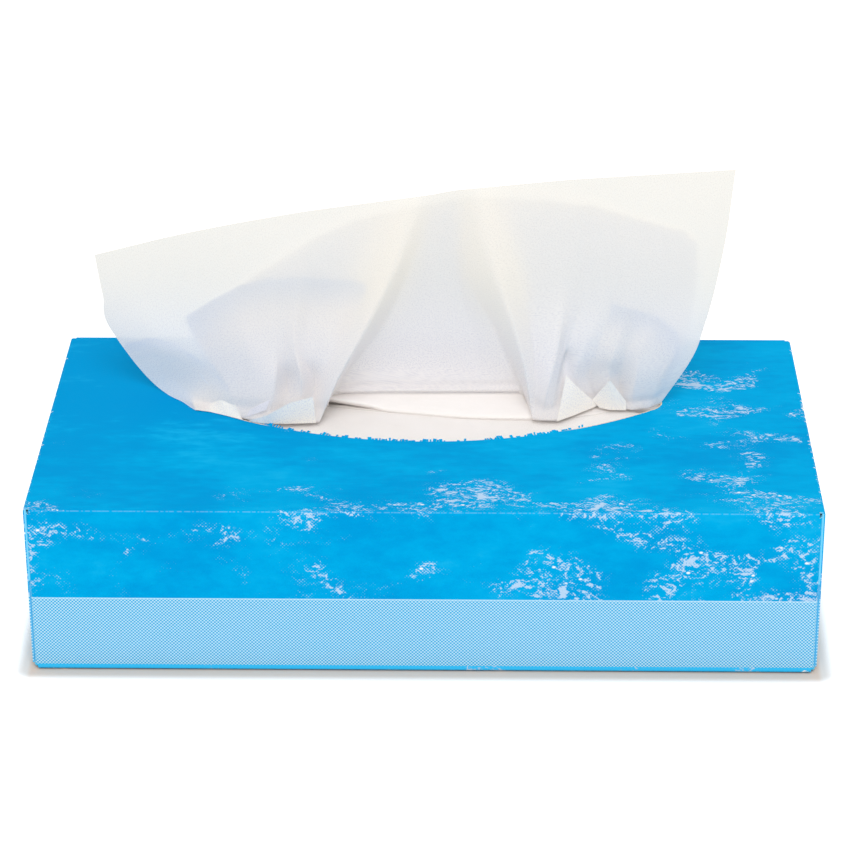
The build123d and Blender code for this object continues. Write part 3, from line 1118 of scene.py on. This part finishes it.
count = len(hem)
hem_x, hem_y = hem[:, 0], hem[:, 1]
gather_x = np.clip(hem_x, -GATHER_HALF, GATHER_HALF)
gather_y = SLIT - GATHER_FORWARD + GATHER_SWING * np.sin(np.linspace(0, 2 * GATHERS * math.pi, count))
gathered = np.stack([gather_x, gather_y, np.full(count, FILM_TOP - GATHER_DROP)], -1)
lip_y = SLIT - (GAPE_FRONT + GAPE_SKEW * hem_x) * (1 - (hem_x / SLIT_HALF) ** 2)
into_left = np.clip((hem_x - BELLY_SPAN[0]) / BELLY_BLEND, 0, 1)
into_right = np.clip((BELLY_SPAN[1] - hem_x) / BELLY_BLEND, 0, 1)
bellied = (into_left * into_right * (hem_y > SLIT - RECESS))[:, None]
lift = BELLY_LIFT * np.clip((LIFT_FROM - hem_x) / LIFT_RUN, 0, 1)
to_right = np.clip((hem_x - SPREAD_FROM) / SPREAD_RUN, 0, 1)
to_left = np.clip((-SPREAD_FROM - hem_x) / SPREAD_RUN, 0, 1)
belly_x = hem_x + BELLY_SPREAD * (to_right - to_left)
belly_y = np.minimum(lip_y, hem_y)
belly_line = np.stack([belly_x, belly_y, FILM_TOP + BELLY_RISE + lift], -1)
roll_y = belly_y + ROLL_BACK + LIFTED_BACK * lift
roll_line = np.stack([belly_x, roll_y, np.full(count, FILM_TOP - ROLL_DROP)], -1)
plain = [hem * (1 - knot) + gathered * knot for knot in UNDER_KNOTS]
tucked = plain[1] * (1 - bellied) + (hem + TUCK) * bellied
turned = plain[2] * (1 - bellied) + belly_line * bellied
rolled_in = plain[3] * (1 - bellied) + roll_line * bellied
paths = np.stack([hem, tucked, turned, rolled_in, gathered], 1)
steps_down = np.linspace(0, 1, UNDER_ROWS + 1)[1:]
under = np.stack([smooth_through(UNDER_KNOTS, path, steps_down) for path in paths], 1)
print("belly over", int((bellied > 0).sum()), "of", count, "columns")

# %% Lower half on the pile
FRONT_FOLD = -45.0
DRAWN_HEIGHT = 1.0
DRAWN_WIDENING = 2.2
DRAWN_RETURN = 70.0
DRAWN_DROP = 0.55
LAID_ROWS = 20
FOLD_BULGE = 0.5

lower = laid_on_pile(
    gathered, FRONT_FOLD, DRAWN_HEIGHT, DRAWN_WIDENING, LAID_ROWS,
    DRAWN_RETURN, DRAWN_DROP, LAID_ROWS, FOLD_BULGE,
)
print("lower half", len(lower), "rows")

# %% [markdown]
# ## Pinched paper at the hem
#
# At both ends of the slit the gathered hem is pinched into small flats of several layers, crisper and
# more opaque than the rest. Fold lines alone would round them off, so each is a panel of its own
# between two edges, laid on the sheet.

# %% Pinched panels and the drawn sheet
TURNED_ROWS = 3


def panel(upper, lower_edge, rows=8, columns=24):
    """A small flat of pinched paper between two edges, each given as (x, z, forward) points."""
    share = np.linspace(0, 1, columns)
    edges = []
    for edge_line in (upper, lower_edge):
        line = np.array(edge_line, float)
        run = np.concatenate([[0], np.cumsum(np.linalg.norm(np.diff(line, axis=0), axis=1))])
        edges.append(np.stack([np.interp(share * run[-1], run, line[:, axis]) for axis in range(3)], -1))
    down = np.linspace(0, 1, rows)[:, None, None]
    flat = on_sight_line(edges[0] * (1 - down) + edges[1] * down)
    flat[..., 2] = np.maximum(flat[..., 2], REST)
    return flat


cuff = panel(
    [(-54.7, 45.6, 15.5), (-49.4, 47.3, 17.6), (-42.3, 51.6, 17.2), (-35.1, 53.7, 16.4)],
    [(-56.4, 44.4, 14.6), at_rest(-50, -3.2), at_rest(-43, -3.5), at_rest(-33.4, -2.7)],
)
lobe_edge = panel(
    [(-72.5, 51, -1), (-69.5, 56.5, -4), (-65.5, 61, 1.6), (-60.3, 54.2, 8.4)],
    [(-71.5, 49.2, 7.5), at_rest(-66, 4.6), at_rest(-60, 1.6), (-56.6, 44.4, 14.6)],
)
right_flat = panel(
    [(42.4, 61.3, 6.4), (45.1, 58.3, 6.4), (51.8, 51.8, 4)],
    [at_rest(39.4, -1), at_rest(44.5, 3.2), at_rest(51.4, 9.4)],
)
right_fold = panel(
    [(50.6, 53.2, 4.5), (55.8, 59.8, 6.8), (60.9, 52.6, 6)],
    [at_rest(52.6, 8.6), at_rest(55.5, 7.2), at_rest(60.6, 7)],
)
# Painted shade: a small fold in the shaded finish stands for the shadowed pocket under the cuff.
shadow_fold = panel(
    [(-55.6, 48.8, 12.5), (-51.8, 51.0, 14.2), (-48.3, 52.7, 15.4)],
    [(-55.4, 47.0, 14.2), (-52.6, 48, 15.2), (-49.6, 49.2, 16.2)],
)
pinched = [cuff, lobe_edge, right_flat, right_fold]
drawn_grids = [np.concatenate([standing, under, lower])] + pinched + [shadow_fold]
drawn_finishes = [tissue] + [pinched_tissue] * len(pinched) + [shaded_tissue]
drawn_sheet = sheet_object("drawn_sheet", drawn_grids, drawn_finishes, DRAWN_ROWS + TURNED_ROWS)

# %% [markdown]
# ## The next sheet
#
# The following tissue is pulled up behind the first and clings to it. So it is lofted over the same
# fold lines, a little further back and leaning away at the top left, and cut off along its own arched
# top edge. Its colour is painted shade. Under the two lapels the first sheet stands away from it, so
# there that painted shade fades to white, by an attribute of its columns. Two of its corners are turned
# over and lie closer still, and a narrow folded strip shows at the far left; these get a bluer painted
# shade. They are cut from the first sheet's own rows, so they follow its pleats exactly.

# %% Cutting rows to an outline
NEXT_ROWS = 70
STRIP_ROWS = 8
LEAST_RUN = 0.02
LEAN_FROM = 84.0
LEAN_RIGHT = 66.0
LEAN_REACH = 32.0


def trimmed(run, top_x, top_z, cling, end, lean=0.0, strip=None):
    """Rows of (x, z, forward) points, set back by cling, between an outline and a share of their length.

    lean tips the top back, and strip keeps only that many millimetres below the outline.
    """
    run = run.copy()
    rising = np.clip((run[..., 1] - LEAN_FROM) / LEAN_REACH, 0, 1)
    leftward = np.clip((LEAN_RIGHT - run[..., 0]) / LEAN_REACH, 0, 1)
    run[..., 2] -= cling + lean * rising * leftward
    steps = np.linspace(0, 1, len(run))
    rows = NEXT_ROWS if strip is None else STRIP_ROWS
    cut = []
    for column in range(run.shape[1]):
        x, z, forward = run[:, column].T
        outline = np.interp(x, top_x, top_z)
        below = z <= outline
        start = min(steps[np.argmax(below)], end - LEAST_RUN) if below.any() else end - LEAST_RUN
        stop = end
        if strip is not None and (z <= outline - strip).any():
            stop = max(start + LEAST_RUN, min(end, steps[np.argmax(z <= outline - strip)]))
        wanted = np.linspace(start, stop, rows)
        cut.append(np.stack([np.interp(wanted, steps, values) for values in (x, z, forward)], -1))
    return on_sight_line(np.stack(cut, 1))


def drawn_columns(first, last, more=0):
    """The drawn sheet's rows between two of its fold lines, and some columns more."""
    low, high = (drawn_lines.index(line) * LINE_COLUMNS for line in (first, last))
    return seen[:, low:high + more + 1]


print("next sheet cut to", NEXT_ROWS, "rows")

# %% Next sheet behind the drawn one
BEHIND_COLUMNS = 8
BEHIND_ROWS = 160
BEHIND_SOFT_HEM = 1.0
BEHIND_CLING = 0.9
BEHIND_LEAN = 2.5
TOP_X = (-76, -68, -57, -45, -33, -20, -5, 12, 30, 49, 66, 77, 80.5, 82.5)
TOP_Z = (79, 84, 91, 99, 107, 113, 116.5, 120, 119.5, 117.6, 112.5, 109.4, 106, 84)

lapel_side = [[at_top(-8), (-17, 92, 3.5), (-22, 76, 8), (-30, 57, 11.5), at_rest(-33, -1)]]
right_side = [[at_top(17), (29.8, 93, 2.5), (30.6, 77, 4.5), (31.6, 60, 8.5), at_rest(32.6, 0.5)]]
right_end = [[at_top(84), (81.5, 96, 1.6), (78, 71, 4.2), (73.2, 60, 4.6), at_rest(69.2, 9.6)]]
behind_lines = left_bunch + lapel_side + middle + right_side + right_bunch + right_end
behind_run = loft(behind_lines, LEVELS, BEHIND_ROWS, BEHIND_COLUMNS, SOFT_TOP, BEHIND_SOFT_HEM)
behind = trimmed(behind_run, TOP_X, TOP_Z, BEHIND_CLING, 1.0, BEHIND_LEAN)
print("next sheet:", len(behind_lines), "fold lines")

# %% Turned-over corners
CORNER_CLING = 0.25
CORNER_END = 0.90
RIM_FOLD = 6.0
LEFT_CORNER = (-75, -65.4, -56.5, -49.5, -36, -20, -17), (80, 86.4, 91.4, 93.4, 94.1, 92.8, 90)
RIGHT_CORNER = (53.5, 61, 70.2, 76, 78), (86, 84.3, 81.6, 76, 66)
LEFT_STRIP = (-93, -91.5, -84, -76, -68.5, -63.5, -57), (70, 72, 74, 72, 65.4, 60, 48)

left_corner_run = drawn_columns(left_bunch[0], left_lapel[0], 4)
right_corner_run = drawn_columns(right_bunch[5], right_bunch[9], 2)
left_strip_run = drawn_columns(left_part[0], left_bunch[0])
turned_over = [
    trimmed(left_corner_run, *LEFT_CORNER, CORNER_CLING, CORNER_END),
    trimmed(right_corner_run, *RIGHT_CORNER, CORNER_CLING, CORNER_END),
    trimmed(left_strip_run, *LEFT_STRIP, CORNER_CLING, CORNER_END, strip=RIM_FOLD),
]
print("corners turned over:", len(turned_over))

# %% Through the slit and onto the pile
SLIT_ENTRY = 0.80
ENTRY_NARROWING = 0.95
ENTRY_BACK = 2.6
ENTRY_HALF = 67.0
ENTRY_DROP = 0.6
BACK_FOLD = 45.0
NEXT_HEIGHT = 0.9
NEXT_WIDENING = 1.6
NEXT_OUT_ROWS = 19
NEXT_RETURN = -92.0
NEXT_DROP = 0.7
NEXT_RETURN_ROWS = 29
NEXT_TURNED_ROWS = 6
LAPEL_FADE = 1.3

entry = behind[-1].copy()
entry[:, 0] *= ENTRY_NARROWING
entry[:, 1] = SLIT + ENTRY_BACK * (1 - (entry[:, 0] / ENTRY_HALF) ** 2)
entry[:, 2] = FILM_TOP - ENTRY_DROP
for i, row in enumerate(behind):
    share = eased((i / (NEXT_ROWS - 1) - SLIT_ENTRY) / (1 - SLIT_ENTRY))
    behind[i] = row * (1 - share) + entry * share
laid = laid_on_pile(
    behind[-1], BACK_FOLD, NEXT_HEIGHT, NEXT_WIDENING, NEXT_OUT_ROWS,
    NEXT_RETURN, NEXT_DROP, NEXT_RETURN_ROWS,
)
lapels = (len(left_bunch) + 0.5, len(left_bunch) + len(middle) + 0.5)
line_share = np.arange(behind.shape[1]) / BEHIND_COLUMNS
from_lapel = np.min([np.abs(line_share - lapel) for lapel in lapels], 0)
apart = np.clip(LAPEL_FADE - from_lapel, 0, 1)
next_grids = [np.concatenate([behind, laid])] + turned_over
next_finishes = [shaded_tissue, corner_tissue, right_corner_tissue, folded_tissue]
next_laid_row = NEXT_ROWS + NEXT_TURNED_ROWS
next_sheet = sheet_object("next_sheet_behind", next_grids, next_finishes, next_laid_row, apart)

# %% [markdown]
# ## The film
#
# Clear film is glued under the lid. Its slit gapes where the sheet stands in it, and the film's lips
# curl up a little. It is hardly seen except where it mirrors the light, so it is a clear shader with a
# thin share of gloss and a faint line of painted shade along the front lip. Two halves are laid out in
# rows from the outer edge to the lip, welded beyond the slit's ends, and given their thickness by
# Solidify.

# %% Film finish
# Painted shade: the colour and share of a faint beige line along the front lip.
LIP_SHADE = (0.86, 0.82, 0.77, 1)
LIP_SHADE_SHARE = 0.1
GLOSS_SHARE = 0.15
WAVE_HEIGHT = 0.8 * MM


def clear_film():
    f = Finish("clear film")
    place = f.place()
    surface = f.bump(f.noise(place, 9.0, 2.0), 0.5, WAVE_HEIGHT)
    edge_on = f.node("ShaderNodeFresnel", sockets={"IOR": 1.5, "Normal": surface})
    clear = f.node("ShaderNodeBsdfTransparent", sockets={"Color": (0.995, 0.995, 0.995, 1)})
    mirror = {"Color": (1, 1, 1, 1), "Roughness": 0.08, "Normal": surface}
    gloss = f.node("ShaderNodeBsdfGlossy", sockets=mirror)
    pane = f.blend(edge_on.smaller(0.6) * GLOSS_SHARE, clear, gloss)
    x, y = f.split(place)[:2]
    along = x / SLIT_HALF
    front_lip = SLIT - (GAPE_FRONT + GAPE_SKEW * x) * (1 - along * along)
    at_lip = 1 - abs(y - front_lip).ramp(0.25, 0.6)
    # Painted shade: a faint beige line along the front lip.
    haze = f.node("ShaderNodeBsdfDiffuse", sockets={"Color": LIP_SHADE})
    return f.output(f.blend(at_lip * LIP_SHADE_SHARE, pane, haze))


film_finish = clear_film()
print("film finish ready")

# %% Film
FILM = 0.06
FILM_ROWS = 26
FILM_COLUMNS = 133
GAPE_BACK = 8.0
LIP_CURL = 0.2
CURL_FROM = 0.72
FILM_SAG = 0.22
SAG_MARGIN = 2.0
SAG_RUN = 10.0
RIPPLE = (6.5, 4.0)
CROSS_RIPPLE = (17.0, 5.5)
WELD_REACH = 0.01
film_low, film_high = (np.array(corner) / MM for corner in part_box("film_window"))


def film_half(edge_y, lip_gape, skew):
    """Rows from the film's outer edge at edge_y to its lip at the slit, which gapes more to one side."""
    x = np.linspace(film_low[0], film_high[0], FILM_COLUMNS)
    gape = (lip_gape + skew * x) * np.clip(1 - (x / SLIT_HALF) ** 2, 0, None)
    open_share = np.clip(np.abs(gape) / abs(lip_gape), 0, 1)
    out = []
    for w in np.linspace(0, 1, FILM_ROWS):
        y = edge_y * (1 - w) + (SLIT + gape) * w
        curl = LIP_CURL * open_share * np.clip((w - CURL_FROM) / (1 - CURL_FROM), 0, 1) ** 2
        inside = np.clip((MOUTH_HALF_DEPTH - SAG_MARGIN - np.abs(y - SLIT)) / SAG_RUN, 0, 1)
        wave = np.sin(x / RIPPLE[0] + y / RIPPLE[1]) * np.sin(y / CROSS_RIPPLE[1] - x / CROSS_RIPPLE[0])
        out.append(np.stack([x, y, FILM_TOP - FILM + curl + FILM_SAG * (wave - 1) * inside], -1))
    return np.array(out)


front_half = film_half(film_low[1], -GAPE_FRONT, -GAPE_SKEW)
back_half = film_half(film_high[1], GAPE_BACK, 0.0)[::-1]
film_points = np.concatenate([front_half, back_half]).reshape(-1, 3)
film_quads = []
for half in range(2):
    order = np.arange(FILM_ROWS * FILM_COLUMNS).reshape(FILM_ROWS, FILM_COLUMNS)
    order = order + half * FILM_ROWS * FILM_COLUMNS
    corners = [order[:-1, :-1], order[:-1, 1:], order[1:, 1:], order[1:, :-1]]
    film_quads += np.stack(corners, -1).reshape(-1, 4).tolist()
film = mesh_object("slit_film", film_points, film_quads, [film_finish])
film.data.polygons.foreach_set("use_smooth", np.ones(len(film_quads), bool))
weld = film.modifiers.new("weld slit ends", "WELD")
weld.merge_threshold = WELD_REACH * MM
wall = film.modifiers.new("film thickness", "SOLIDIFY")
wall.thickness = FILM * MM
wall.offset = -1.0
print("film", len(film_quads), "faces")

# %% [markdown]
# ## The pile
#
# About a hundred folded sheets lie under the film. Modelling each would cost many faces that nobody
# sees, so the pile is one closed stack of rounded rings. A seeded draw shifts each ring a little, which
# makes the fine uneven layers of folded edges round the sides.

# %% Pile
LAYER = 0.5
CORNER = 6.0
CORNER_POINTS = 9
SETTLED = 0.4
END_GAP = 0.6
SIDE_GAP = 2.0
BULGE = 1.0
ROUND_FROM = 0.86
ROUND_DEPTH = 5.0
UNEVEN = 0.22
END_UNEVEN = 0.5
PILE_SEED = 5
pile_low, pile_high = (np.array(corner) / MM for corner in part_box("tissue_stack"))
rng = np.random.default_rng(PILE_SEED)


def rounded_ring(half_x, half_y):
    ring = []
    for quarter, (sx, sy) in enumerate([(1, 1), (-1, 1), (-1, -1), (1, -1)]):
        for step in range(CORNER_POINTS):
            angle = (quarter + step / (CORNER_POINTS - 1)) * math.pi / 2
            x = sx * (half_x - CORNER) + CORNER * math.cos(angle)
            y = sy * (half_y - CORNER) + CORNER * math.sin(angle)
            ring.append((x, y))
    return np.array(ring)


pile_height = pile_high[2] - pile_low[2]
layers = int(pile_height / LAYER)
pile_points = []
for i in range(layers + 1):
    z = pile_low[2] + (pile_height - SETTLED) * i / layers
    past_round = max(0.0, abs(i / layers - 0.5) * 2 - ROUND_FROM) / (1 - ROUND_FROM)
    bulge = BULGE - ROUND_DEPTH * past_round
    jitter = rng.normal(0, UNEVEN)
    half_x = pile_high[0] - END_GAP + jitter * END_UNEVEN
    half_y = pile_high[1] - SIDE_GAP + bulge + jitter
    ring = rounded_ring(half_x, half_y)
    pile_points.append(np.concatenate([ring, np.full((len(ring), 1), z)], 1))
ring_size = len(pile_points[0])
pile_faces = []
for i in range(layers):
    low, high = i * ring_size, (i + 1) * ring_size
    for k in range(ring_size):
        n = (k + 1) % ring_size
        pile_faces.append((low + k, low + n, high + n, high + k))
pile_faces.append(tuple(range(ring_size))[::-1])
pile_faces.append(tuple(layers * ring_size + k for k in range(ring_size)))
pile = mesh_object("tissue_pile", np.concatenate(pile_points), pile_faces, [laid_tissue])
print("pile", layers, "layers")

# %% [markdown]
# ## Riding, replacing and handing over
#
# Each piece is tied to the one body of this object. Four of them stand for the plain solids they
# replace, which are hidden.

# %% Tie the pieces to the body
pieces = [
    (drawn_sheet, "pulled_sheet", "tissue"),
    (next_sheet, "next_sheet", "tissue"),
    (film, "film_window", "clear_film"),
    (pile, "tissue_stack", "tissue"),
]
for piece, node, slot in pieces:
    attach(piece, "root")
    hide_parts(node)
for board_piece in (nibs, beads):
    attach(board_piece, "root")
